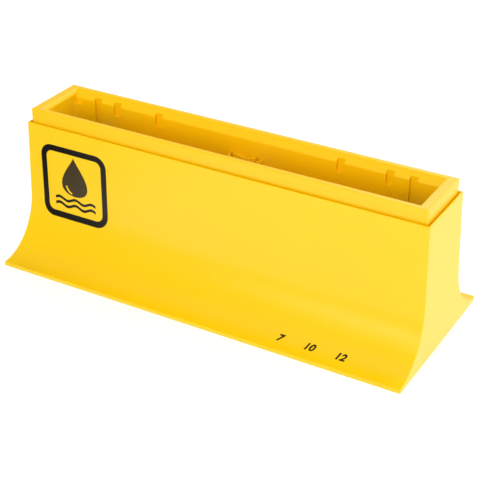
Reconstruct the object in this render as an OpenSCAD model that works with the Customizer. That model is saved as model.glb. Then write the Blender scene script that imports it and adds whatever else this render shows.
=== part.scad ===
// Record washer: a flared moulded casing carries a narrow water tank. Two grooved rollers stand in
// slots in the tank's long walls, and two bristle brushes stand in guides at its middle, so that a
// record on the rollers turns with its lower half between the brushes.
// Millimetres. X runs along the tank, -Y is the printed front, Z is up from the table.

/* [Casing] */
// Length at the foot
base_l = 375; // [360:1:450]
// Depth at the foot, front lip to back lip
base_w = 152; // [120:1:200]
// How far each end leans in from the foot to the top edge
end_draft = 3.5; // [1:0.1:5]
// Depth at the top edge
body_w = 65.5; // [55:0.5:80]
// How far each side leans out from the top edge to the waist, where the flare starts
side_draft = 1.15; // [0.5:0.05:2]
// Height of the top edge
body_h = 120.5; // [100:0.5:150]
// Height of the waist
waist_z = 55; // [40:1:70]
// Height of the upright lip round the foot
foot_lip = 3.5; // [2.8:0.1:8]
// Wall of the casing
shell_wall = 2.4; // [1.8:0.1:2.5]
// Wall left outside the groove at the top edge
groove_lip = 1.2; // [0.8:0.1:1.5]
// Depth of the step that the tank's shoulder sits on
step_h = 4; // [3:0.5:8]
// Rounding of the casing's top edge and of its foot lip
shell_round = 0.6; // [0.2:0.1:0.8]

/* [Rim] */
// Height of the rim above the casing
rim_h = 12; // [8:0.5:20]
// Distance from the casing's outer face to the rim's
rim_inset = 2.8; // [2.6:0.1:5]
// Flat top of the rim along the long sides
rim_land = 4.6; // [3:0.1:6]
// Flat top of the rim at the ends
rim_end_land = 8.3; // [7:0.1:14]
// Sloped lead-in inside the rim, measured inward
lead_in_w = 5.7; // [3:0.1:8]
// Sloped lead-in inside the rim, measured downward
lead_in_h = 6; // [3:0.1:9]
// Lead-in at the ends, measured inward
end_lead_w = 1.6; // [1:0.1:4]
// Lead-in at the ends, measured downward
end_lead_h = 3.2; // [2:0.1:6]
// Rounding of the rim's outer and inner edges
rim_round = 1; // [0.4:0.1:1.5]
// Rounding where a lead-in meets its wall
lead_in_round = 2.5; // [0.5:0.1:4]
// Shoulder that carries the tank
shoulder_t = 1.5; // [1:0.1:2.5]

/* [Tank] */
// Wall of the tank
tank_wall = 2.4; // [1.8:0.1:3]
// Height of the tank's floor inside
floor_z = 10.5; // [9:0.5:20]
// Thickness of the floor
floor_t = 2.6; // [1.8:0.1:3.5]
// Radius of the tank's upright corners
corner_r = 8; // [2:0.5:10]
// Radius along the foot of the tank's long walls
cove_r = 6; // [2:0.5:12]

/* [Roller slots] */
// Distance from the middle to the slots for 12 inch records
slot_x_12 = 148; // [145:0.5:150]
// Distance from the middle to the slots for 10 inch records
slot_x_10 = 128; // [124:0.5:129]
// Distance from the middle to the slots for 7 inch records
slot_x_7 = 85.5; // [80:0.5:90]
// Width of a slot
slot_w = 7; // [5.5:0.1:9]
// Depth of a slot into the wall
slot_depth = 2.4; // [1.5:0.1:3]
// Drop from the rim to the foot of the 12 inch slots
slot_drop_12 = 36.5; // [30:0.5:45]
// Drop from the rim to the foot of the shorter slots
slot_drop = 16; // [13:0.5:22]

/* [Rollers] */
// Radius of the tyre
tyre_r = 14; // [12:0.5:16]
// Radius at the root of the tyre's groove
groove_r = 11; // [10:0.5:12]
// Width of the tyre
tyre_w = 10; // [7:0.5:14]
// Radius of the wheel hub under the tyre
hub_r = 8.5; // [7:0.5:9.5]
// Radius of the axle
axle_r = 2.5; // [1.5:0.1:2.8]
// Radius of the flange on each bush
flange_r = 5.5; // [4.8:0.1:7]

/* [Brushes] */
// Width of a brush's back plate
plate_w = 27; // [20:1:36]
// Thickness of a brush's back plate
plate_t = 3; // [2:0.2:4]
// Drop from the rim to the top of a brush
brush_drop = 20; // [18:0.5:30]
// Gap between the two brushes' tips, for the record
nap_gap = 1.7; // [1:0.1:4]
// Columns of tufts on a brush
tuft_cols = 6; // [4:1:7]
// Rows of tufts on a brush
tuft_rows = 30; // [20:1:34]

/* [Hidden] */

// Fits
press_gap = 0.02;  // bush on its axle
run_gap = 0.05;    // wheel on its axle
seat_gap = 0.1;    // bush in its slot, each side
slide_gap = 0.3;   // brush plate in its guides, and parts that only have to clear
cut = 1;           // how far a cutter runs past a face

// Rim and tank
top_hl = base_l / 2 - end_draft;
rim_z = body_h + rim_h;
rim_hl = top_hl - rim_inset;
rim_hw = body_w / 2 - rim_inset;
mouth_hl = rim_hl - rim_end_land;
mouth_hw = rim_hw - rim_land;
tank_hl = mouth_hl - end_lead_w;
tank_hw = mouth_hw - lead_in_w;
step_z = body_h - step_h;
rim_skirt = 4.5;  // how far the rim's outer wall reaches below the step

// Casing
foot_hl = base_l / 2;
waist_w = body_w + 2 * side_draft;
flare_reach = (base_w - waist_w) / 2;
flare_rise = waist_z - foot_lip;
flare_steps = 36;
least_edge = 0.3;   // shortest edge kept where the flare meets the foot lip
gusset_t = 2;
gusset_pitch = base_l / 5;
gusset_lift = 2;    // gussets stop this far above the table
gusset_bite = 0.5;  // how far a gusset's foot reaches into the lip

// Screws that hold the tank down to two cross ties
tie_back = 16;    // from a 10 inch slot in to a tie
tie_x = slot_x_10 - tie_back;
tie_w = 14;
tie_t = 3;
tie_gap = 1.3;    // between a tie and the tank's floor
tie_z = floor_z - floor_t - tie_gap - tie_t;
tie_hole_r = 2;
boss_r = 4;
boss_off = 0.5;   // between a boss and the tank's wall
boss_y = tank_hw + tank_wall + boss_off + boss_r;
boss_gap = 0.4;   // between a boss and its tie
boss_h = 15;
boss_roof = 2;    // plastic left over a boss's blind hole
web_t = 3;        // web that joins two bosses to the tank
web_lift = 2;     // from a boss's foot up to its web
pilot_r = 1.5;
screw_r = 1.45;
screw_l = 13;
screw_head_r = 3.2;
screw_head_h = 2;
recess_l = 3.4;
recess_w = 0.7;
recess_h = 1.2;

// Rollers
slot_pad_drop = 1;  // wall behind a slot stops this far below the rim
bush_r = slot_w / 2 - seat_gap;
bush_end = tank_hw + slot_depth - slide_gap;
bush_cap = 1.2;   // wall that closes a bush's outer end
flange_out = tank_hw - slide_gap;
flange_t = 1.6;
axle_z = rim_z - slot_drop_12 + bush_r + run_gap;
axle_hl = bush_end - bush_cap;
hub_proud = 1.2;  // hub beyond the tyre, each side
hub_hw = tyre_w / 2 + hub_proud;
spacer_wall = 1.5;
spacer_r = axle_r + spacer_wall;
wheel_gap = 0.3;  // end float of the wheel between its spacers

// Brushes
plate_hw = plate_w / 2;
plate_in = tank_hw - slide_gap - plate_t;
plate_foot = floor_z + slide_gap;
brush_top = rim_z - brush_drop;
guide_t = 2;
guide_lip = 2;
guide_in = plate_in - slide_gap - guide_t;
guide_hw = plate_hw + slide_gap;
guide_drop = 1.5;   // from a brush's top down to its guides
guide_top = brush_top - guide_drop;
ear_drop = 3;       // from the guides' top down to the ears that slide in them
ear_top = guide_top - ear_drop;
grip_h = 9;
grip_step = 1;      // grip narrower than the block, each side
rib_pitch = plate_w / 5;
rib_w = 1.6;
rib_drop = 0.5;     // from a brush's top down to its ribs
scoop_r = 7.5;
scoop_h = 2.1;
body_gap = 0.5;     // between the block and a guide's lip
body_hw = guide_hw - guide_lip - body_gap;
body_proud = 2;     // block beyond the guides
body_in = guide_in - body_proud;
body_top = brush_top - grip_h;
backing_t = 1.4;
backing_in = body_in - backing_t;
pad_side = 0.6;     // bare edge of the block beside, below and above the pad
pad_below = 4;
pad_above = 2;
pad_hw = body_hw - pad_side;
pad_foot = plate_foot + pad_below;
pad_top = body_top - pad_above;
tuft_w = 1.5;
strip_t = 0.4;    // slice of backing that the tufts stand on

yellow = [1.0, 0.82, 0.05];
ivory = [0.93, 0.91, 0.84];
steel = [0.72, 0.73, 0.75];
rubber = [0.08, 0.08, 0.09];

// A YZ outline stretched along X, centred on X = 0
module along_x(length) {
    rotate([90, 0, 90]) translate([0, 0, -length / 2]) linear_extrude(length) children();
}

// An XZ outline stretched along Y, centred on Y = 0
module along_y(length) {
    rotate([90, 0, 0]) translate([0, 0, -length / 2]) linear_extrude(length) children();
}

// A plan rectangle of half sizes hl and hw with round corners
module round_plan(hl, hw, r) {
    square([2 * hl, 2 * (hw - r)], center = true);
    square([2 * (hl - r), 2 * hw], center = true);
    for (sx = [-1, 1], sy = [-1, 1])
        translate([sx * (hl - r), sy * (hw - r)]) circle(r, $fn = 48);
}

// Both sides of a half outline given from its foot to its top
function both_sides(half) = concat(
    half,
    [for (i = [len(half) - 1:-1:0]) [-half[i][0], half[i][1]]]
);

// Arc that rounds the corner b between a and c
function rounded(a, b, c, r, steps = 6) =
    let (
        u = (a - b) / norm(a - b),
        v = (c - b) / norm(c - b),
        half_angle = acos(u * v) / 2,
        centre = b + (u + v) / norm(u + v) * r / sin(half_angle),
        start = b + u * r / tan(half_angle) - centre,
        side = u[0] * v[1] - u[1] * v[0] > 0 ? -1 : 1,
        turn = side * (180 - 2 * half_angle)
    )
    [for (i = [0:steps]) let (t = turn * i / steps)
        centre + [start[0] * cos(t) - start[1] * sin(t), start[0] * sin(t) + start[1] * cos(t)]];

// A point of the flare, a quarter ellipse, moved inward by the wall's thickness
function flare_point(t, inward) =
    let (n = [flare_rise * cos(t), flare_reach * sin(t)])
    [waist_w / 2 + flare_reach * (1 - cos(t)), waist_z - flare_rise * sin(t)] - inward * n / norm(n);

// Half outline of the casing, foot to top
foot_edge = [base_w / 2, foot_lip];
waist_edge = [waist_w / 2, waist_z];
top_edge = [body_w / 2, body_h];
shell_half = concat(
    [[base_w / 2, 0]],
    rounded([base_w / 2, 0], foot_edge, [0, foot_lip], shell_round),
    [for (i = [flare_steps - 1:-1:0]) flare_point(90 * i / flare_steps, 0)],
    rounded(waist_edge, top_edge, [0, body_h], shell_round)
);

// Half outline of the space inside the casing, foot to top
foot_inner = base_w / 2 - shell_wall;
flare_inner = [
    for (i = [flare_steps:-1:0])
        let (p = flare_point(90 * i / flare_steps, shell_wall)) if (p[0] < foot_inner - least_edge) p
];
hollow_half = concat(
    [[foot_inner, -cut], [foot_inner, flare_inner[0][1]]],
    flare_inner,
    [[body_w / 2 - shell_wall, body_h + cut]]
);

// Half length of the casing's end face at a height, less a wall
function end_x(z, inward) = foot_hl - (foot_hl - top_hl) * z / body_h - inward;

// XZ outline between the two sloped end faces
module end_outline(inward, foot, top, r) {
    top_corner = [end_x(top, inward), top];
    polygon(both_sides(concat(
        [[end_x(foot, inward), foot]],
        r > 0 ? rounded([end_x(foot, inward), foot], top_corner, [0, top], r) : [top_corner]
    )));
}

module shell_space() {
    intersection() {
        along_x(base_l + 2 * cut) polygon(both_sides(hollow_half));
        along_y(base_w + 2 * cut) end_outline(shell_wall, -cut, body_h + cut, 0);
    }
}

module gussets() {
    intersection() {
        along_x(base_l) polygon(both_sides(concat(
            [[foot_inner + gusset_bite, gusset_lift]],
            [for (i = [flare_steps:-1:0])
                let (p = flare_point(90 * i / flare_steps, shell_wall / 2)) if (p[0] < foot_inner) p]
        )));
        for (i = [-2:2], m = [0, 1]) mirror([0, m, 0])
            translate([i * gusset_pitch - gusset_t / 2, waist_w / 2 - shell_wall, 0])
                cube([gusset_t, base_w, waist_z]);
    }
}

module cross_ties() {
    intersection() {
        along_x(base_l) polygon(both_sides(shell_half));
        for (s = [-1, 1])
            translate([s * tie_x - tie_w / 2, -base_w / 2, tie_z]) cube([tie_w, base_w, tie_t]);
    }
}

module at_screws() {
    for (sx = [-1, 1], sy = [-1, 1]) translate([sx * tie_x, sy * boss_y, 0]) children();
}

module outer_shell() {
    color(yellow) difference() {
        union() {
            difference() {
                intersection() {
                    along_x(base_l) polygon(both_sides(shell_half));
                    along_y(base_w) end_outline(0, 0, body_h, shell_round);
                }
                shell_space();
            }
            gussets();
            cross_ties();
        }
        translate([0, 0, step_z + step_h / 2 + cut / 2])
            cube([2 * (top_hl - groove_lip), body_w - 2 * groove_lip, step_h + cut], center = true);
        at_screws() translate([0, 0, tie_z - cut]) cylinder(tie_t + 2 * cut, r = tie_hole_r, $fn = 32);
    }
}

// The tank's upright walls and round-footed section, grown by a wall
module tank_form(grow, floor_at, top) {
    intersection() {
        translate([0, 0, floor_at]) linear_extrude(top - floor_at)
            round_plan(tank_hl + grow, tank_hw + grow, corner_r + grow);
        along_x(2 * (tank_hl + grow)) union() {
            translate([-tank_hw - grow, floor_at + cove_r + grow])
                square([2 * (tank_hw + grow), top - floor_at]);
            translate([-tank_hw + cove_r, floor_at]) square([2 * (tank_hw - cove_r), top - floor_at]);
            for (s = [-1, 1])
                translate([s * (tank_hw - cove_r), floor_at + cove_r + grow])
                    circle(cove_r + grow, $fn = 48);
        }
    }
}

// Half outline of the mouth, up its wall and its lead-in to the rim, grown by a wall's thickness
function mouth_half(wall, edge, drop, grow, foot) =
    let (
        slope_grow = grow * norm([edge - wall, drop]) / drop,
        slope_foot = rim_z - drop - (slope_grow - grow) * drop / (edge - wall)
    )
    [[wall + grow, foot], [wall + grow, slope_foot], [edge + slope_grow, rim_z]];

// The same outline at its true size, with its corners rounded
function mouth_cut_half(wall, edge, drop, foot) =
    let (
        p = mouth_half(wall, edge, drop, 0, foot),
        brim = rounded(p[1], p[2], p[2] + [1, 0], rim_round)
    )
    concat([p[0]], rounded(p[0], p[1], p[2], lead_in_round), brim, [brim[len(brim) - 1] + [0, cut]]);

// The mouth's space at its true size, from a height up
module mouth_cut(foot) {
    intersection() {
        along_x(2 * rim_hl) polygon(both_sides(mouth_cut_half(tank_hw, mouth_hw, lead_in_h, foot)));
        along_y(2 * rim_hw) polygon(both_sides(mouth_cut_half(tank_hl, mouth_hl, end_lead_h, foot)));
    }
}

// The solid round the mouth's space, with its wall
module mouth_form(grow, foot) {
    intersection() {
        along_x(2 * rim_hl) polygon(both_sides(mouth_half(tank_hw, mouth_hw, lead_in_h, grow, foot)));
        along_y(2 * rim_hw) polygon(both_sides(mouth_half(tank_hl, mouth_hl, end_lead_h, grow, foot)));
    }
}

// Outline of the rim seen from its end or its side
module rim_outline(half) {
    polygon(both_sides(concat(
        [[half, step_z - rim_skirt]],
        rounded([half, step_z], [half, rim_z], [0, rim_z], rim_round)
    )));
}

module rim() {
    difference() {
        union() {
            intersection() {
                translate([0, 0, step_z - rim_skirt]) linear_extrude(rim_z - step_z + rim_skirt)
                    round_plan(rim_hl, rim_hw, rim_round);
                along_x(2 * rim_hl) rim_outline(rim_hw);
                along_y(2 * rim_hw) rim_outline(rim_hl);
            }
            translate([0, 0, step_z]) linear_extrude(shoulder_t)
                square([2 * (top_hl - groove_lip - slide_gap), body_w - 2 * (groove_lip + slide_gap)],
                       center = true);
        }
        difference() {
            translate([0, 0, (step_z - rim_skirt - cut + rim_z - tank_wall) / 2])
                cube([2 * (rim_hl - tank_wall), 2 * (rim_hw - tank_wall),
                      rim_z - tank_wall - step_z + rim_skirt + cut], center = true);
            mouth_form(tank_wall, 0);
        }
    }
}

// Every roller slot: distance along X and drop from the rim to its foot
slots = [[slot_x_12, slot_drop_12], [slot_x_10, slot_drop], [slot_x_7, slot_drop]];

module at_slots() {
    for (s = slots, sx = [-1, 1], m = [0, 1])
        mirror([0, m, 0]) translate([sx * s[0], 0, rim_z - s[1]]) {
            $drop = s[1];
            children();
        }
}

// A slot with a round foot at Z = 0, from Y = from to Y = to
module slot_form(r, from, to, height) {
    translate([0, to, r]) rotate([90, 0, 0]) cylinder(to - from, r = r, $fn = 48);
    translate([-r, from, r]) cube([2 * r, to - from, height - r]);
}

module brush_guides() {
    for (s = [-1, 1], m = [0, 1]) mirror([0, m, 0]) scale([s, 1, 1]) {
        translate([guide_hw, guide_in, floor_z - cut / 2])
            cube([guide_t, tank_hw - guide_in + cut, guide_top - floor_z + cut / 2]);
        translate([guide_hw - guide_lip, guide_in, floor_z - cut / 2])
            cube([guide_lip + guide_t, guide_t, guide_top - floor_z + cut / 2]);
    }
}

module screw_bosses() {
    at_screws() translate([0, 0, tie_z + tie_t + boss_gap]) cylinder(boss_h, r = boss_r, $fn = 48);
    for (sx = [-1, 1])
        translate([sx * tie_x - web_t / 2, -boss_y, tie_z + tie_t + boss_gap + web_lift])
            cube([web_t, 2 * boss_y, boss_h - web_lift]);
}

module inner_tank() {
    color(yellow) difference() {
        union() {
            difference() {
                union() {
                    rim();
                    tank_form(tank_wall, floor_z - floor_t, rim_z - tank_wall);
                    screw_bosses();
                    intersection() {
                        at_slots() translate([0, 0, -tank_wall])
                            slot_form(slot_w / 2 + tank_wall, tank_hw, tank_hw + slot_depth + tank_wall,
                                      $drop + tank_wall - slot_pad_drop);
                        mouth_form(slot_depth + tank_wall, 0);
                    }
                }
                tank_form(0, floor_z, rim_z + cut);
                mouth_cut(rim_z - lead_in_h - 2 * lead_in_round);
            }
            brush_guides();
        }
        at_slots() slot_form(slot_w / 2, tank_hw - cut, tank_hw + slot_depth, $drop + cut);
        at_screws() translate([0, 0, tie_z + tie_t])
            cylinder(boss_gap + boss_h - boss_roof, r = pilot_r, $fn = 32);
    }
}

module tank_screws() {
    color(steel) at_screws() {
        translate([0, 0, tie_z]) cylinder(screw_l, r = screw_r, $fn = 32);
        difference() {
            translate([0, 0, tie_z - screw_head_h]) cylinder(screw_head_h, r = screw_head_r, $fn = 48);
            for (a = [0, 90]) rotate(a)
                translate([-recess_l / 2, -recess_w / 2, tie_z - screw_head_h - cut])
                    cube([recess_l, recess_w, cut + recess_h]);
        }
    }
}

// Puts a roller's pieces, drawn about the Y axis, at the left (-1) or right (1) 12 inch slots
module at_roller(side) {
    translate([side * slot_x_12, 0, axle_z]) children();
}

// A revolved ring along Y. Its outline is [distance along Y, radius]
module turned(points) {
    rotate([-90, 0, 0]) rotate_extrude($fn = 72) polygon([for (p = points) [p[1], p[0]]]);
}

module axle(side) {
    chamfer = 0.5;
    color(steel) at_roller(side) turned([
        [-axle_hl, 0], [-axle_hl, axle_r - chamfer], [-axle_hl + chamfer, axle_r],
        [axle_hl - chamfer, axle_r], [axle_hl, axle_r - chamfer], [axle_hl, 0]
    ]);
}

// Capped bush on an axle's end: it stands in the slot, and its flange keeps it off the wall
module bush(side, end) {
    bore = axle_r + press_gap;
    foot = axle_hl + press_gap;
    face = flange_out - flange_t;
    chamfer = 0.4;
    color(ivory) at_roller(side) mirror([0, end < 0 ? 1 : 0, 0]) turned([
        [face, bore], [face, flange_r - chamfer], [face + chamfer, flange_r],
        [flange_out, flange_r], [flange_out, bush_r],
        [bush_end, bush_r], [bush_end, 0], [foot, 0], [foot, bore]
    ]);
}

module spacer(side, end) {
    bore = axle_r + run_gap;
    from = hub_hw + wheel_gap;
    to = flange_out - flange_t - run_gap;
    color(ivory) at_roller(side) mirror([0, end < 0 ? 1 : 0, 0])
        turned([[from, bore], [from, spacer_r], [to, spacer_r], [to, bore]]);
}

// Wheel under the tyre: a boss on the axle, a thin web, and a band that the tyre sits on
module wheel_hub(side) {
    bore = axle_r + run_gap;
    boss = spacer_r + 0.8;
    web_hw = 1.5;
    web_r = hub_r - 1.6;
    color(ivory) at_roller(side) turned([
        [-hub_hw, bore], [-hub_hw, boss], [-web_hw, boss], [-web_hw, web_r],
        [-tyre_w / 2, web_r], [-tyre_w / 2, hub_r], [tyre_w / 2, hub_r], [tyre_w / 2, web_r],
        [web_hw, web_r], [web_hw, boss], [hub_hw, boss], [hub_hw, bore]
    ]);
}

// Rubber tyre with the V groove that a record's edge stands in
module wheel_tyre(side) {
    land = 1.4;
    root = 0.6;
    chamfer = 0.6;
    color(rubber) at_roller(side) turned([
        [-tyre_w / 2, hub_r], [-tyre_w / 2, tyre_r - chamfer], [-tyre_w / 2 + chamfer, tyre_r],
        [-tyre_w / 2 + land, tyre_r], [-root, groove_r], [root, groove_r],
        [tyre_w / 2 - land, tyre_r], [tyre_w / 2 - chamfer, tyre_r],
        [tyre_w / 2, tyre_r - chamfer], [tyre_w / 2, hub_r]
    ]);
}

// Brushes are drawn against the back wall; the front one is turned half round
module at_wall(side) {
    rotate(side < 0 ? 180 : 0) children();
}

// Plate in the guides, block behind the pad, and a ribbed grip with a thumb scoop above them
module brush_holder(side) {
    grip_hw = body_hw - grip_step;
    color(yellow) at_wall(side) difference() {
        intersection() {
            tank_form(-slide_gap, plate_foot, rim_z);
            union() {
                translate([-plate_hw, plate_in, plate_foot])
                    cube([2 * plate_hw, plate_t, ear_top - plate_foot]);
                translate([-grip_hw, plate_in, plate_foot])
                    cube([2 * grip_hw, plate_t, brush_top - plate_foot]);
                translate([-body_hw, body_in, plate_foot])
                    cube([2 * body_hw, plate_in + plate_t / 2 - body_in, body_top - plate_foot]);
                for (i = [-1:1])
                    translate([i * rib_pitch - rib_w / 2, plate_in - rib_w, body_top - rib_w])
                        cube([rib_w, rib_w + plate_t / 2, brush_top - rib_drop - body_top + rib_w]);
            }
        }
        translate([0, plate_in, brush_top + scoop_r - scoop_h]) rotate([90, 0, 0])
            cylinder(4 * plate_t, r = scoop_r, center = true, $fn = 64);
    }
}

module brush_backing(side) {
    color("lightgrey") at_wall(side) translate([-pad_hw, backing_in, pad_foot])
        cube([2 * pad_hw, backing_t, pad_top - pad_foot]);
}

// Tufts stand on a thin strip, in rows that fill the backing
module brush_bristles(side) {
    bristle_l = backing_in - nap_gap / 2;
    pitch_x = (2 * pad_hw - 2 * tuft_w) / (tuft_cols - 1);
    pitch_z = (pad_top - pad_foot - 2 * tuft_w) / (tuft_rows - 1);
    color("white") at_wall(side) {
        translate([-pad_hw, backing_in - strip_t, pad_foot]) cube([2 * pad_hw, strip_t, pad_top - pad_foot]);
        translate([0, backing_in - strip_t / 2, 0]) rotate([90, 0, 0]) linear_extrude(bristle_l - strip_t / 2)
            for (i = [0:tuft_cols - 1], j = [0:tuft_rows - 1])
                translate([-pad_hw + tuft_w + i * pitch_x, pad_foot + tuft_w + j * pitch_z])
                    square(tuft_w, center = true);
    }
}

outer_shell();
inner_tank();
tank_screws();
axle(-1);  // left_axle
bush(-1, -1);  // left_front_bush
bush(-1, 1);  // left_rear_bush
spacer(-1, -1);  // left_front_spacer
spacer(-1, 1);  // left_rear_spacer
wheel_hub(-1);  // left_wheel_hub
wheel_tyre(-1);  // left_wheel_tyre
axle(1);  // right_axle
bush(1, -1);  // right_front_bush
bush(1, 1);  // right_rear_bush
spacer(1, -1);  // right_front_spacer
spacer(1, 1);  // right_rear_spacer
wheel_hub(1);  // right_wheel_hub
wheel_tyre(1);  // right_wheel_tyre
brush_holder(-1);  // front_brush_holder
brush_backing(-1);  // front_brush_backing
brush_bristles(-1);  // front_brush_bristles
brush_holder(1);  // rear_brush_holder
brush_backing(1);  // rear_brush_backing
brush_bristles(1);  // rear_brush_bristles
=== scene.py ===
"""Looks of the record washer: plastics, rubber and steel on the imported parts, a casing with
softened corners, the prints on its front, and the brushes' bristle pile."""

import math
import random

import bmesh
import bpy
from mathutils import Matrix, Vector
from mathutils.bvhtree import BVHTree


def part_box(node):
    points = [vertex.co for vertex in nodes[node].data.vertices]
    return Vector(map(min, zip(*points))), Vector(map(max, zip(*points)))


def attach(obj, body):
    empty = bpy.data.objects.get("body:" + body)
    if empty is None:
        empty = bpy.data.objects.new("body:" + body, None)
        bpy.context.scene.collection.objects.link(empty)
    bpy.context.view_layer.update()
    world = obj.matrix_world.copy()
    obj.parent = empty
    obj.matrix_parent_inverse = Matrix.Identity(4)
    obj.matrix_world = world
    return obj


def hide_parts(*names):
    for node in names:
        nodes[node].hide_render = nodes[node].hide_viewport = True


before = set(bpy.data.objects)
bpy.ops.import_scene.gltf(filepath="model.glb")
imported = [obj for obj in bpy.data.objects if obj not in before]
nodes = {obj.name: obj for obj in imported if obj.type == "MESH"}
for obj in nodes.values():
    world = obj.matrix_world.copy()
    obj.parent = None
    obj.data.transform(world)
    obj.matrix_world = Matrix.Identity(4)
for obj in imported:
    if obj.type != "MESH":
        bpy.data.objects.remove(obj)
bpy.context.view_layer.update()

MM = 0.001

# The photo's viewpoint
CAMERA_AZIMUTH = math.radians(30.01)
CAMERA_ELEVATION = math.radians(29.88)
CAMERA_DISTANCE = 1.0804
CAMERA_TARGET = Vector((0.00553, 0.0, 0.04268))
CAMERA_LENS = 96.98
SENSOR_WIDTH = 36

# Colours, linear
YELLOW = (0.975, 0.615, 0.0015)
YELLOW_DEEP = (0.965, 0.600, 0.0015)
# The tank's yellows are the plastic's own yellow, shifted a shade more orange than the casing's as
# painted shade for the orange of the tank's deep, shaded inside
TANK_YELLOW_WITH_PAINTED_SHADE = (0.985, 0.592, 0.0015)
TANK_YELLOW_DEEP_WITH_PAINTED_SHADE = (0.975, 0.578, 0.0015)
INK_BLACK = (0.008, 0.006, 0.004)
INK_BROWN = (0.052, 0.036, 0.010)
WHITE = (1, 1, 1)

# Where a noise starts and ends to shift a colour
TINT_SPAN = (0.2, 0.8)

# Strengths of the light all round, of what is added to it overhead, and of the floor in gloss
AMBIENT = 0.32
OVERHEAD = 1.1
FLOOR_IN_GLOSS = 1.2

# Where the light all round changes, by the Y or Z of a ray's direction
OVERHEAD_Z = (0.80, 0.95)
BACKDROP_Y = (-0.15, 0.15)
BACKDROP_Z = (0.50, 0.25)

# The floor: half its width in metres, its paper, and the lift that keeps it white near and far
FLOOR_HALF = 6.0
PAPER_GREY = 0.88
LIFT_NEAR = 0.26
LIFT_ADDED_FAR = 0.50
FAR_SPAN = (0.4, 1.4)

# Where the floor starts to show in gloss, in metres: at the left, before the object, behind it
LIT_X = (-0.28, -0.12)
LIT_Y = (-0.60, -0.40)
BEHIND_Y = (-0.05, 0.05)

# Name, place, size in metres, watts, and whether it shows in reflections
LAMPS = (
    ("key lamp", (0.16, -1.87, 1.05), 1.3, 22.3, False),
    ("back lamp", (0.0, 1.20, 1.30), 1.0, 9, True),
    ("rear lamp", (1.20, 1.60, 0.45), 1.2, 16, False),
    ("right lamp", (1.60, -0.10, 0.50), 1.0, 9, True),
    ("low lamp", (-0.20, -1.00, 0.34), 0.30, 0.6, True),
)

# How far the casing's corners are cut back, in how many steps, how near the ends they are looked
# for, and how far below the top edge they stop; lengths in millimetres
CORNER_CUT = 0.5
CORNER_STEPS = 3
END_ZONE = 4.5
TOP_MARGIN = 0.5

# Sizes of the prints, in millimetres
BADGE_CENTRE = (-138, -60, 71.5)
NUMBER_HEIGHT = 9.2
NUMBER_SLANT = 0.25
NUMBER_WEIGHT = 0.34
NUMBER_Y = -63.2
NUMBER_Z = 6
NUMBERS_X = {"7": 78, "10": 104, "12": 131}


def to_camera(scene):
    """Makes the camera at the photo's viewpoint."""
    back = Vector((
        math.sin(CAMERA_AZIMUTH) * math.cos(CAMERA_ELEVATION),
        -math.cos(CAMERA_AZIMUTH) * math.cos(CAMERA_ELEVATION),
        math.sin(CAMERA_ELEVATION),
    ))
    data = bpy.data.cameras.new("camera")
    data.lens = CAMERA_LENS
    data.sensor_width = SENSOR_WIDTH
    data.clip_start = 0.01
    data.clip_end = 50
    camera = bpy.data.objects.new("camera", data)
    camera.location = CAMERA_TARGET + back * CAMERA_DISTANCE
    camera.rotation_mode = "QUATERNION"
    camera.rotation_quaternion = (-back).to_track_quat("-Z", "Y")
    scene.collection.objects.link(camera)
    scene.camera = camera


# Materials

class Finish:
    """A node material under construction, with short ways to add and join nodes."""

    def __init__(self, name, color, roughness, **sockets):
        self.material = bpy.data.materials.new(name)
        self.material.use_nodes = True
        self.tree = self.material.node_tree
        self.shader = self.tree.nodes["Principled BSDF"]
        self.shader.inputs["Base Color"].default_value = (*color, 1)
        self.shader.inputs["Roughness"].default_value = roughness
        for socket, value in sockets.items():
            self.shader.inputs[socket.replace("_", " ")].default_value = value
        self.place = self.tree.nodes.new("ShaderNodeTexCoord").outputs["Object"]
        self.bumps = None

    def join(self, output, node, socket):
        self.tree.links.new(output, node.inputs[socket])

    def noise(self, size, detail=2.0, stretch=None):
        """Noise whose features are about size metres across, longer where stretch is below 1."""
        place = self.place
        if stretch:
            mapping = self.tree.nodes.new("ShaderNodeMapping")
            mapping.inputs["Scale"].default_value = stretch
            self.join(place, mapping, "Vector")
            place = mapping.outputs["Vector"]
        node = self.tree.nodes.new("ShaderNodeTexNoise")
        node.inputs["Scale"].default_value = 1 / size
        node.inputs["Detail"].default_value = detail
        self.join(place, node, "Vector")
        return node.outputs["Fac"]

    def tint(self, noise, color_a, color_b):
        """Base colour that drifts between two colours with a noise."""
        ramp = self.tree.nodes.new("ShaderNodeValToRGB")
        for stop, position, color in zip(ramp.color_ramp.elements, TINT_SPAN, (color_a, color_b)):
            stop.position = position
            stop.color = (*color, 1)
        self.join(noise, ramp, "Fac")
        self.join(ramp.outputs["Color"], self.shader, "Base Color")

    def roughen(self, noise, low, high):
        """Roughness that drifts between two values with a noise."""
        span = self.tree.nodes.new("ShaderNodeMapRange")
        span.inputs["To Min"].default_value = low
        span.inputs["To Max"].default_value = high
        self.join(noise, span, "Value")
        self.join(span.outputs["Result"], self.shader, "Roughness")

    def bump(self, height, depth, strength=1.0):
        """Relief of a depth in metres, on top of any relief added before."""
        node = self.tree.nodes.new("ShaderNodeBump")
        node.inputs["Strength"].default_value = strength
        node.inputs["Distance"].default_value = depth
        self.join(height, node, "Height")
        if self.bumps:
            self.join(self.bumps, node, "Normal")
        self.bumps = node.outputs["Normal"]
        self.join(self.bumps, self.shader, "Normal")


def yellow_plastic(name, color, deep, roughness):
    """Satin moulded plastic: slow flow marks, a fine orange peel and an uneven polish."""
    finish = Finish(name, color, roughness, IOR=1.5)
    finish.tint(finish.noise(0.09, 3), deep, color)
    finish.roughen(finish.noise(0.05, 1), roughness - 0.03, roughness + 0.03)
    finish.bump(finish.noise(0.0016, 1), 0.000004)
    return finish.material


def plain_plastic(name, color, deep, roughness):
    """Matt moulded plastic of the small parts."""
    finish = Finish(name, color, roughness, IOR=1.5)
    finish.tint(finish.noise(0.012, 3), deep, color)
    finish.roughen(finish.noise(0.006, 2), roughness - 0.06, roughness + 0.06)
    finish.bump(finish.noise(0.0006, 2), 0.00002, 0.5)
    return finish.material


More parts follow.
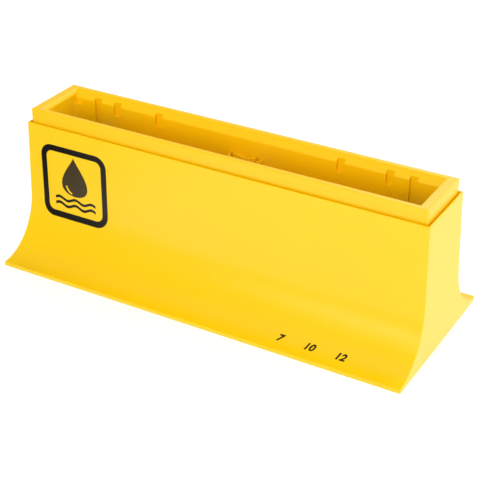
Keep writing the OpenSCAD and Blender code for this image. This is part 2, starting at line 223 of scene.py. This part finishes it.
def rubber(name):
    """Black tyre rubber with a fine grain and a dusty bloom."""
    finish = Finish(name, (0.022, 0.022, 0.023), 0.62)
    finish.tint(finish.noise(0.004, 4), (0.016, 0.016, 0.017), (0.034, 0.034, 0.035))
    finish.roughen(finish.noise(0.003, 3), 0.52, 0.74)
    finish.bump(finish.noise(0.0004, 3), 0.00005, 0.6)
    return finish.material


def turned_steel(name, color, roughness):
    """Bright steel with fine turning marks round the Y axis."""
    finish = Finish(name, color, roughness, Metallic=1.0)
    marks = finish.noise(0.0015, 2, stretch=(0.15, 6.0, 0.15))
    finish.tint(marks, tuple(0.86 * c for c in color), color)
    finish.roughen(finish.noise(0.004, 2), roughness - 0.08, roughness + 0.08)
    finish.bump(marks, 0.00001, 0.4)
    return finish.material


def ink(name, color):
    """Screen-printed ink, a little uneven in gloss."""
    finish = Finish(name, color, 0.38, IOR=1.5)
    finish.tint(finish.noise(0.004, 3), tuple(0.85 * c for c in color), tuple(1.15 * c for c in color))
    finish.roughen(finish.noise(0.002, 2), 0.32, 0.46)
    return finish.material


def bristle(name):
    """Cream nylon bristle, a shade darker here and there."""
    finish = Finish(name, (0.80, 0.77, 0.68), 0.45, IOR=1.5)
    finish.tint(finish.noise(0.0012, 2), (0.66, 0.62, 0.53), (0.86, 0.84, 0.77))
    finish.roughen(finish.noise(0.003, 2), 0.38, 0.55)
    return finish.material


def dress(obj, material):
    """Gives an object one material."""
    obj.data.materials.clear()
    obj.data.materials.append(material)


# Meshes

def new_object(name, mesh):
    obj = bpy.data.objects.new(name, mesh)
    bpy.context.scene.collection.objects.link(obj)
    return obj


def from_bmesh(name, bm):
    mesh = bpy.data.meshes.new(name)
    bm.to_mesh(mesh)
    bm.free()
    return new_object(name, mesh)


def smooth_by_angle(bm, degrees=30):
    """Smooth faces, with edges kept sharp where they turn by more than an angle."""
    limit = math.radians(degrees)
    for face in bm.faces:
        face.smooth = True
    for edge in bm.edges:
        edge.smooth = edge.is_manifold and edge.calc_face_angle(math.pi) < limit


def clean_copy(node):
    """A bmesh of a CAD node with its seams welded and its flat faces whole."""
    bm = bmesh.new()
    bm.from_mesh(nodes[node].data)
    bmesh.ops.remove_doubles(bm, verts=bm.verts, dist=0.002 * MM)
    bmesh.ops.dissolve_limit(bm, angle_limit=math.radians(0.15), verts=bm.verts, edges=bm.edges)
    return bm


def corner_edges(bm, high):
    """Edges where the casing's end faces meet its long outer faces, up to the rounded top edge.

    An end face looks along X, and a long face looks neither along X nor far down.
    """
    found = []
    for edge in bm.edges:
        if len(edge.link_faces) != 2:
            continue
        a, b = (face.normal for face in edge.link_faces)
        if abs(a.x) < abs(b.x):
            a, b = b, a
        ends = abs(a.x) > 0.9 and abs(b.x) < 0.02 and b.z > -0.5
        outside = all(abs(v.co.x) > high.x - END_ZONE * MM for v in edge.verts)
        wide = all(a.x * v.co.x > 0 and b.y * v.co.y > -1e-9 for v in edge.verts)
        upright = all(v.co.z < high.z - TOP_MARGIN * MM for v in edge.verts)
        turned = edge.calc_face_angle(0) > math.radians(30)
        if ends and outside and wide and upright and turned and edge.is_convex:
            found.append(edge)
    return found


def casing():
    """The casing with its upright corners softened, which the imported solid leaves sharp."""
    bm = clean_copy("outer_shell")
    edges = corner_edges(bm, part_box("outer_shell")[1])
    bmesh.ops.bevel(
        bm, geom=edges, offset=CORNER_CUT * MM, offset_type="OFFSET", segments=CORNER_STEPS,
        profile=0.5, affect="EDGES", clamp_overlap=False,
    )
    smooth_by_angle(bm)
    obj = from_bmesh("casing", bm)
    weighted = obj.modifiers.new("flat faces stay flat", "WEIGHTED_NORMAL")
    weighted.keep_sharp = True
    return obj


# Scene

def ramp(tree, value, low, high):
    """A soft step from 0 to 1 as a value goes from low to high."""
    node = tree.nodes.new("ShaderNodeMapRange")
    node.interpolation_type = "SMOOTHSTEP"
    node.inputs["From Min"].default_value = min(low, high)
    node.inputs["From Max"].default_value = max(low, high)
    node.inputs["To Min"].default_value = 0 if low < high else 1
    node.inputs["To Max"].default_value = 1 if low < high else 0
    tree.links.new(value, node.inputs["Value"])
    return node.outputs["Result"]


def combined(tree, operation, first, second):
    """The product, maximum or other combination of two values, either of which may be a number."""
    node = tree.nodes.new("ShaderNodeMath")
    node.operation = operation
    for socket, value in zip(node.inputs, (first, second)):
        if isinstance(value, (int, float)):
            socket.default_value = value
        else:
            tree.links.new(value, socket)
    return node.outputs[0]


def split(tree, vector):
    """The X, Y and Z of a vector."""
    node = tree.nodes.new("ShaderNodeSeparateXYZ")
    tree.links.new(vector, node.inputs[0])
    return node.outputs


def mixed(tree, share, first, second):
    """A shader that goes from the first to the second as a share goes from 0 to 1."""
    node = tree.nodes.new("ShaderNodeMixShader")
    tree.links.new(share, node.inputs["Fac"])
    tree.links.new(first, node.inputs[1])
    tree.links.new(second, node.inputs[2])
    return node.outputs[0]


def studio_world(scene):
    """White light all round and more of it overhead, which reaches down into the tank.

    Gloss shows a bright backdrop low behind the object and a darker room elsewhere, to keep
    white off the yellow.
    """
    world = bpy.data.worlds.new("studio")
    scene.world = world
    world.use_nodes = True
    tree = world.node_tree
    tree.nodes.clear()
    path = tree.nodes.new("ShaderNodeLightPath").outputs
    toward = split(tree, tree.nodes.new("ShaderNodeTexCoord").outputs["Generated"])

    def sky(strength):
        node = tree.nodes.new("ShaderNodeBackground")
        node.inputs["Color"].default_value = (*WHITE, 1)
        if isinstance(strength, (int, float)):
            node.inputs["Strength"].default_value = strength
        else:
            tree.links.new(strength, node.inputs["Strength"])
        return node.outputs[0]

    overhead = combined(tree, "MULTIPLY", ramp(tree, toward["Z"], *OVERHEAD_Z), OVERHEAD)
    ambient = combined(tree, "ADD", overhead, AMBIENT)
    behind = ramp(tree, toward["Y"], *BACKDROP_Y)
    low_down = ramp(tree, toward["Z"], *BACKDROP_Z)
    backdrop = combined(tree, "MULTIPLY", behind, low_down)
    light = mixed(tree, path["Is Glossy Ray"], sky(ambient), sky(backdrop))
    seen = combined(tree, "MAXIMUM", path["Is Camera Ray"], path["Is Transmission Ray"])
    out = tree.nodes.new("ShaderNodeOutputWorld")
    tree.links.new(mixed(tree, seen, light, sky(1.0)), out.inputs["Surface"])


def studio_floor():
    """A white floor that stays white into the distance, and keeps the shadow near the object.

    In gloss it fades into the room before the object and at its left.
    """
    mesh = bpy.data.meshes.new("floor")
    corners = [(FLOOR_HALF * x, FLOOR_HALF * y, 0) for x, y in ((-1, -1), (1, -1), (1, 1), (-1, 1))]
    mesh.from_pydata(corners, [], [(0, 1, 2, 3)])
    floor = new_object("floor", mesh)
    material = bpy.data.materials.new("floor")
    material.use_nodes = True
    tree = material.node_tree
    tree.nodes.clear()
    path = tree.nodes.new("ShaderNodeLightPath").outputs
    position = tree.nodes.new("ShaderNodeNewGeometry").outputs["Position"]
    place = split(tree, position)
    distance = tree.nodes.new("ShaderNodeVectorMath")
    distance.operation = "LENGTH"
    tree.links.new(position, distance.inputs[0])
    far = ramp(tree, distance.outputs["Value"], *FAR_SPAN)
    paper = tree.nodes.new("ShaderNodeBsdfDiffuse")
    paper.inputs["Color"].default_value = (PAPER_GREY, PAPER_GREY, PAPER_GREY, 1)
    lift = tree.nodes.new("ShaderNodeEmission")
    lift_added = combined(tree, "MULTIPLY", far, LIFT_ADDED_FAR)
    lift_level = combined(tree, "ADD", lift_added, LIFT_NEAR)
    tree.links.new(lift_level, lift.inputs["Strength"])
    lifted = tree.nodes.new("ShaderNodeAddShader")
    tree.links.new(paper.outputs[0], lifted.inputs[0])
    tree.links.new(lift.outputs[0], lifted.inputs[1])

    lit_x = ramp(tree, place["X"], *LIT_X)
    lit_y = ramp(tree, place["Y"], *LIT_Y)
    lit = combined(tree, "MULTIPLY", lit_x, lit_y)
    behind = ramp(tree, place["Y"], *BEHIND_Y)
    gloss = tree.nodes.new("ShaderNodeEmission")
    shown_part = combined(tree, "MAXIMUM", lit, behind)
    shine_level = combined(tree, "MULTIPLY", shown_part, FLOOR_IN_GLOSS)
    tree.links.new(shine_level, gloss.inputs["Strength"])

    shown = mixed(tree, path["Is Camera Ray"], paper.outputs[0], lifted.outputs[0])
    shown = mixed(tree, path["Is Glossy Ray"], shown, gloss.outputs[0])
    out = tree.nodes.new("ShaderNodeOutputMaterial")
    tree.links.new(shown, out.inputs["Surface"])
    dress(floor, material)


def floor_and_light(scene):
    """The white studio and its lamps: a key before the object, two behind, one at its right, and a
    small low one before it whose reflection is the pale band along the flare.

    The key and rear lamps stay out of reflections, so that they don't whiten the flare's right
    half and the left rim.
    """
    studio_world(scene)
    studio_floor()
    for name, at, size, power, reflected in LAMPS:
        lamp(name, at, size, power, reflected)


def lamp(name, at, size, power, reflected):
    """A square soft lamp that faces the middle of the object."""
    data = bpy.data.lights.new(name, "AREA")
    data.size = size
    data.energy = power
    obj = bpy.data.objects.new(name, data)
    obj.location = at
    obj.rotation_mode = "QUATERNION"
    obj.rotation_quaternion = (CAMERA_TARGET - Vector(at)).to_track_quat("-Z", "Y")
    obj.visible_glossy = reflected
    bpy.context.scene.collection.objects.link(obj)


# Prints

def surface_of(obj):
    """A search tree of an object's own faces."""
    bm = bmesh.new()
    bm.from_mesh(obj.data)
    tree = BVHTree.FromBMesh(bm)
    bm.free()
    return tree


def filled(outline, *holes):
    """A flat shape from an outline and its holes, in millimetres."""
    bm = bmesh.new()
    edges = []
    for loop in (outline, *holes):
        verts = [bm.verts.new((x, y, 0)) for x, y in loop]
        for vert, after in zip(verts, verts[1:] + verts[:1]):
            edges.append(bm.edges.new((vert, after)))
    bmesh.ops.triangle_fill(bm, use_beauty=True, use_dissolve=False, edges=edges)
    return bm


def lettered(text, size, shear, weight):
    """A flat shape of plain digits, in millimetres."""
    curve = bpy.data.curves.new(text, "FONT")
    curve.body = text
    curve.size = size
    curve.shear = shear
    curve.offset = weight
    curve.align_x = "CENTER"
    curve.align_y = "CENTER"
    curve.resolution_u = 6
    curve.fill_mode = "FRONT"
    obj = bpy.data.objects.new(text, curve)
    bpy.context.scene.collection.objects.link(obj)
    bm = bmesh.new()
    bm.from_mesh(obj.to_mesh())
    obj.to_mesh_clear()
    bpy.data.objects.remove(obj)
    bmesh.ops.remove_doubles(bm, verts=bm.verts, dist=0.01)
    return bm


def lay_print(name, bm, origin, right, up, surface, material, grain=2.0):
    """Lays a flat shape on a surface as a film of ink, and gives the piece.

    The shape's X and Y run along right and up from the origin, and it drops onto the surface
    along their normal. It is cut every grain millimetres, so that it follows a curve.
    """
    proud = 0.04 * MM
    sunk = 0.06 * MM
    reach = 40 * MM
    normal = right.cross(up).normalized()
    low = min(v.co.y for v in bm.verts)
    high = max(v.co.y for v in bm.verts)
    cuts = int((high - low) / grain)
    for i in range(1, cuts + 1):
        at = (0, low + (high - low) * i / (cuts + 1), 0)
        parts = bm.verts[:] + bm.edges[:] + bm.faces[:]
        bmesh.ops.bisect_plane(bm, geom=parts, plane_co=at, plane_no=(0, 1, 0))
    bmesh.ops.recalc_face_normals(bm, faces=bm.faces)
    if bm.faces[:][0].normal.z < 0:
        bmesh.ops.reverse_faces(bm, faces=bm.faces)
    outward = {}
    for vert in bm.verts:
        start = origin + (right * vert.co.x + up * vert.co.y) * MM + normal * reach
        hit, hit_normal, _, _ = surface.ray_cast(start, -normal, 2 * reach)
        outward[vert] = hit_normal
        vert.co = hit
    top = bm.faces[:]
    border = [edge for edge in bm.edges if edge.is_boundary]
    below = {vert: bm.verts.new(vert.co - outward[vert] * sunk) for vert in outward}
    for vert in outward:
        vert.co += outward[vert] * proud
    for face in top:
        bm.faces.new([below[vert] for vert in reversed(face.verts)])
    for edge in border:
        loop = edge.link_loops[0]
        a, b = loop.vert, loop.link_loop_next.vert
        bm.faces.new((b, a, below[a], below[b]))
    smooth_by_angle(bm)
    obj = from_bmesh(name, bm)
    dress(obj, material)
    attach(obj, "housing")
    return obj


def rounded_square(half, radius, steps=10):
    """Outline of a square of a half size, with round corners."""
    points = []
    for quarter in range(4):
        turn = quarter * math.pi / 2
        middle = turn + math.pi / 4
        centre = (half - radius) * math.sqrt(2)
        for i in range(steps + 1):
            angle = turn + math.pi / 2 * i / steps
            points.append((
                centre * math.cos(middle) + radius * math.cos(angle),
                centre * math.sin(middle) + radius * math.sin(angle),
            ))
    return points


def drop(width, height, bottom, steps=64):
    """Outline of a falling drop, its tip up. It is a little slimmer than the width given."""
    taper = 1.6
    slimming = 1.56
    points = []
    for i in range(steps):
        t = 2 * math.pi * i / steps
        x = math.sin(t) * math.sin(t / 2) ** taper
        points.append((-x * width / slimming, bottom + height * (1 + math.cos(t)) / 2))
    return points


def wave(length, level, swing, thickness, waves=2.5, steps=60):
    """Outline of a wavy stroke."""
    over, under = [], []
    for i in range(steps + 1):
        x = length * (i / steps - 0.5)
        y = level + swing * math.sin(2 * math.pi * waves * i / steps)
        over.append((x, y + thickness / 2))
        under.append((x, y - thickness / 2))
    return under + over[::-1]


def shine(level, steps=16):
    """Outline of the light streak inside the drop, a slim crescent on its left."""
    start, sweep = 188, 62
    wide, narrow = 9.6, 7.4
    shift = 0.4
    outer, inner = [], []
    for i in range(steps + 1):
        t = math.radians(start + sweep * i / steps)
        outer.append((wide * math.cos(t), level + wide * math.sin(t)))
        inner.append((narrow * math.cos(t) - shift, level + narrow * math.sin(t) - shift))
    return outer + inner[::-1]


# Bristles

def add_box(verts, faces, low, high, near_y, far_y, plus_y):
    """Adds a box between two corners in X and Z, from one value of Y to another.

    plus_y says that the second is the greater one, so that the faces look outward.
    """
    base = len(verts)
    for y in (near_y, far_y):
        for x, z in ((low.x, low.z), (high.x, low.z), (high.x, high.z), (low.x, high.z)):
            verts.append((x, y, z))
    box = [(0, 3, 2, 1), (4, 5, 6, 7), (0, 1, 5, 4), (1, 2, 6, 5), (2, 3, 7, 6), (3, 0, 4, 7)]
    for face in box:
        quad = tuple(base + i for i in face)
        faces.append(quad[::-1] if plus_y else quad)


def add_tube(verts, faces, rings, plus_y):
    """Adds a closed tube through rings of three points each.

    plus_y says that the rings follow each other along +Y, so that the faces look outward.
    """
    base = len(verts)
    for ring in rings:
        verts.extend(ring)
    faces.append((base + 2, base + 1, base) if plus_y else (base, base + 1, base + 2))
    for i in range(len(rings) - 1):
        for k in range(3):
            a = base + 3 * i + k
            b = base + 3 * i + (k + 1) % 3
            quad = (a, b, b + 3, a + 3)
            faces.append(quad if plus_y else quad[::-1])
    last = base + 3 * (len(rings) - 1)
    faces.append((last, last + 1, last + 2) if plus_y else (last + 2, last + 1, last))


def tuft_pile(name, node, inward):
    """The bristles of a brush: tufts of tapered filaments on their strip.

    inward is the way the tips point along Y, 1 or -1.
    """
    columns, rows, per_tuft = 6, 30, 13
    strip = 0.4 * MM
    edge = 1.5 * MM
    lean = 0.10 * MM
    root_spread = 0.55
    tip_spread, tip_extra, tip_limit = 0.95, 0.3, 1.25
    tuft_turn, turn_jitter = 2.4, 0.3
    shortfall, core_share = 0.06, 0.4
    third_turn = 2.094
    # Along a filament: how far, its radius in millimetres, and how much of its lean it has there
    stations = ((0, 0.13, 0.0), (0.55, 0.12, 0.35), (1, 0.06, 1.0))

    low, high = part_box(node)
    plus_y = inward > 0
    root_y, tip_y = (low.y, high.y) if plus_y else (high.y, low.y)
    length = abs(tip_y - root_y) - strip
    rng = random.Random(name)
    verts, faces = [], []
    for column in range(columns):
        for row in range(rows):
            x = low.x + edge + (high.x - low.x - 2 * edge) * column / (columns - 1)
            z = low.z + edge + (high.z - low.z - 2 * edge) * row / (rows - 1)
            lean_x, lean_z = rng.gauss(0, lean), rng.gauss(0, lean)
            for i in range(per_tuft):
                angle = tuft_turn * i + rng.uniform(-turn_jitter, turn_jitter)
                spread = math.sqrt((i + 0.5) / per_tuft)
                root = root_spread * MM * spread
                tip_reach = (tip_spread + rng.uniform(0, tip_extra)) * MM
                tip = min(tip_limit * MM, tip_reach) * spread
                reach = length * (1 - shortfall * rng.random() * (core_share + spread))
                turn = rng.uniform(0, 2)
                rings = []
                for part, radius, out in stations:
                    away = root + (tip - root) * out
                    cx = x + away * math.cos(angle) + lean_x * out
                    cz = z + away * math.sin(angle) + lean_z * out
                    y = root_y + inward * (strip * 0.5 + (reach + strip * 0.5) * part)
                    rings.append([
                        (cx + radius * MM * math.sin(turn + third_turn * k), y,
                         cz + radius * MM * math.cos(turn + third_turn * k))
                        for k in range(3)
                    ])
                add_tube(verts, faces, rings, plus_y)

    add_box(verts, faces, low, high, root_y, root_y + inward * strip, plus_y)
    mesh = bpy.data.meshes.new(name)
    mesh.from_pydata(verts, [], faces)
    return new_object(name, mesh)


scene = bpy.context.scene
scene.view_settings.view_transform = "Standard"
to_camera(scene)
floor_and_light(scene)

casing_yellow = yellow_plastic("casing_yellow", YELLOW, YELLOW_DEEP, 0.30)
# The tank's plastic: its own yellow with painted shade, a shift to orange for its shaded inside; the
# brush holders in the tank share it
tank_yellow_with_painted_shade = yellow_plastic("tank_yellow_with_painted_shade", TANK_YELLOW_WITH_PAINTED_SHADE, TANK_YELLOW_DEEP_WITH_PAINTED_SHADE, 0.33)
ivory = plain_plastic("ivory_plastic", (0.72, 0.69, 0.58), (0.66, 0.63, 0.52), 0.42)
grey = plain_plastic("grey_plastic", (0.30, 0.30, 0.29), (0.26, 0.26, 0.25), 0.5)
tyre = rubber("tyre_rubber")
axle_steel = turned_steel("axle_steel", (0.62, 0.62, 0.63), 0.28)
screw_steel = turned_steel("screw_steel", (0.52, 0.52, 0.53), 0.38)
black_ink = ink("black_ink", INK_BLACK)
brown_ink = ink("brown_ink", INK_BROWN)
cream = bristle("cream_bristle")

shell = casing()
dress(shell, casing_yellow)
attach(shell, "housing")
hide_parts("outer_shell")

finishes = {"inner_tank": tank_yellow_with_painted_shade, "tank_screws": screw_steel}
for side in ("left", "right"):
    finishes[f"{side}_axle"] = axle_steel
    finishes[f"{side}_wheel_hub"] = ivory
    finishes[f"{side}_wheel_tyre"] = tyre
    for end in ("front", "rear"):
        finishes[f"{side}_{end}_bush"] = ivory
        finishes[f"{side}_{end}_spacer"] = ivory
for wall in ("front", "rear"):
    finishes[f"{wall}_brush_holder"] = tank_yellow_with_painted_shade
    finishes[f"{wall}_brush_backing"] = grey
    finishes[f"{wall}_brush_bristles"] = cream
for node, material in finishes.items():
    dress(nodes[node], material)

for wall, inward in (("front", 1), ("rear", -1)):
    node = f"{wall}_brush_bristles"
    pile = tuft_pile(f"{wall}_bristle_pile", node, inward)
    dress(pile, cream)
    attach(pile, f"{wall}_brush")
    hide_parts(node)

surface = surface_of(shell)
right = Vector((1, 0, 0))
upright = Vector((0, 0, 1))
badge_at = Vector(BADGE_CENTRE) * MM
badge = {
    "badge_frame": (filled(rounded_square(33.5, 11), rounded_square(28, 6)), black_ink),
    "badge_drop": (filled(drop(30, 37, -11), shine(-0.5)), brown_ink),
    "badge_wave_upper": (filled(wave(42, -15.5, 1.4, 2.6)), black_ink),
    "badge_wave_lower": (filled(wave(42, -21, 1.4, 2.6)), black_ink),
}
for name, (shape, material) in badge.items():
    lay_print(name, shape, badge_at, right, upright, surface, material)

# Record sizes on the lower right of the flare, which leans back there
up_flare = Vector((0, 0.93, 0.36)).normalized()
for text, x in NUMBERS_X.items():
    shape = lettered(text, NUMBER_HEIGHT, NUMBER_SLANT, NUMBER_WEIGHT)
    at = Vector((x * MM, NUMBER_Y * MM, NUMBER_Z * MM))
    lay_print(f"size_{text}", shape, at, right, up_flare, surface, black_ink, grain=1.0)
